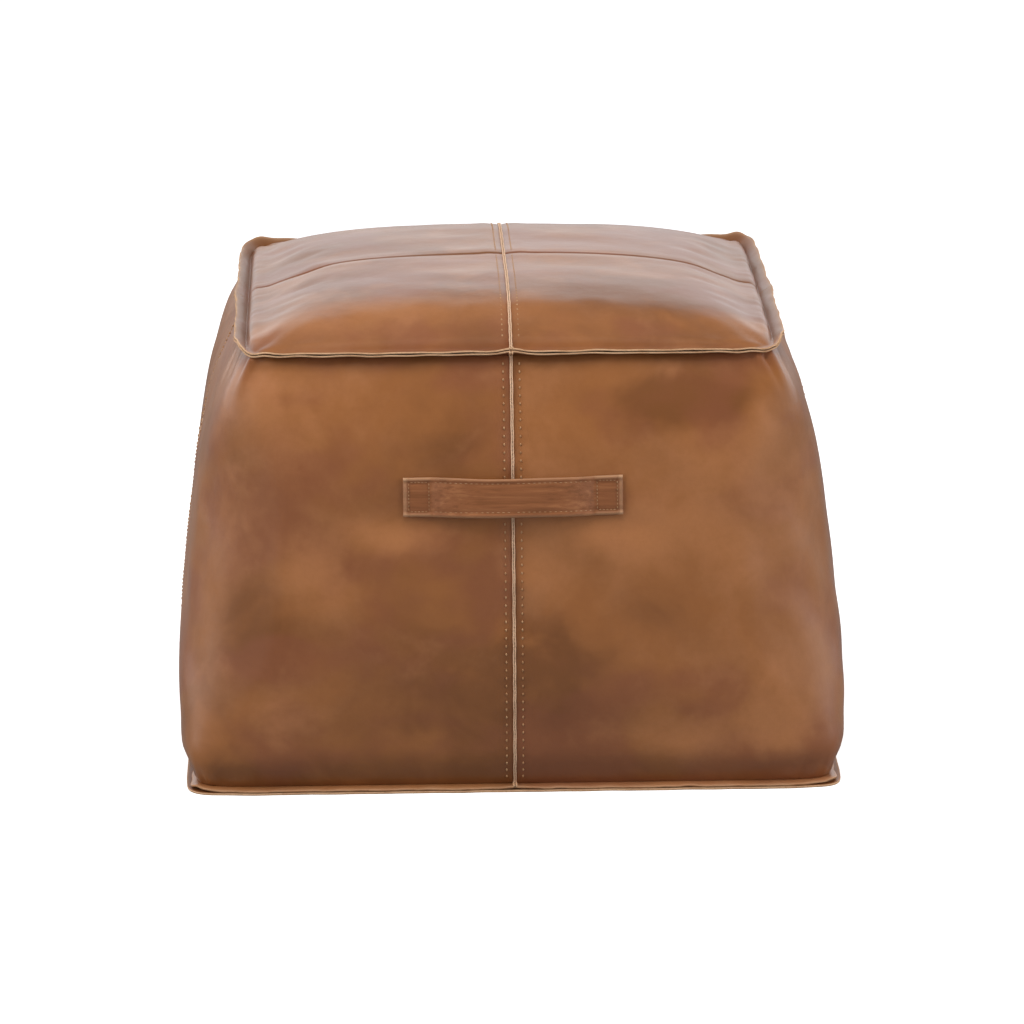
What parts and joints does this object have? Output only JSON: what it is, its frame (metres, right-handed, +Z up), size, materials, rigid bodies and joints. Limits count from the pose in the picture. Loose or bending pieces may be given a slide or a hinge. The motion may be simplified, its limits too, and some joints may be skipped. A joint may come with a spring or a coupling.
{
  "type": "leather pouf",
  "caption": "Square tapered stuffed leather floor pouf with turned-out seam edges, a sewn strap handle on the front and a zip across its base.",
  "frame": {"origin": "centre of the base, on the floor the pouf stands on", "axes": "+Z up, -Y out of the front face that carries the handle, +X to the right seen from the front"},
  "size_m": [0.5104, 0.5112, 0.3668],
  "materials": {
    "leather": "mottled pull-up hide, semi-gloss",
    "handle_leather": "folded strap leather, satin",
    "raw_edge": "cut leather edge, matt and paler than the face",
    "thread": "waxed thread",
    "seam_tape": "woven cotton tape",
    "zip_tape": "woven zip tape",
    "zip_teeth": "nylon coil",
    "zip_metal": "antique brass",
    "bag_cloth": "plain unbleached cotton",
    "foam": "foam",
    "wadding": "fibre wadding"
  },
  "bodies": {
    "root": {"top_panel_front_left": "leather", "top_panel_front_right": "leather", "top_panel_rear_left": "leather", "top_panel_rear_right": "leather", "side_panel_front_left": "leather", "side_panel_front_right": "leather", "side_panel_rear_left": "leather", "side_panel_rear_right": "leather", "base_panel_front": "leather", "base_panel_rear": "leather", "wall_seam_tape_front": "seam_tape", "wall_seam_tape_right": "seam_tape", "wall_seam_tape_rear": "seam_tape", "wall_seam_tape_left": "seam_tape", "top_seam_tape_long": "seam_tape", "top_seam_tape_left": "seam_tape", "top_seam_tape_right": "seam_tape", "handle_end_left": "handle_leather", "handle_end_right": "handle_leather", "handle_patch_left": "seam_tape", "handle_patch_right": "seam_tape", "zip_teeth_front": "zip_teeth", "zip_teeth_rear": "zip_teeth", "zip_tape_front": "zip_tape", "zip_tape_rear": "zip_tape", "zip_stop_left": "zip_metal", "zip_stop_right": "zip_metal", "inner_bag": "bag_cloth", "foam_block": "foam", "top_pad": "wadding"},
    "handle": {"handle_strap": "handle_leather"},
    "slider": {"zip_slider": "zip_metal"},
    "pull": {"zip_pull": "zip_metal"}
  },
  "joints": [
    {"name": "handle_swing", "type": "hinge", "parent": "root", "child": "handle", "pos_m": [0, -0.24055, 0.22937], "axis": [1, 0, 0], "range_deg": [-24, 24]},
    {"name": "zip_slide", "type": "slide", "parent": "root", "child": "slider", "axis": [-1, 0, 0], "range_m": [0, 0.36]},
    {"name": "pull_flip", "type": "hinge", "parent": "slider", "child": "pull", "pos_m": [0.1805, 0, 0.005], "axis": [0, -1, 0], "range_deg": [0, 165]}
  ]
}
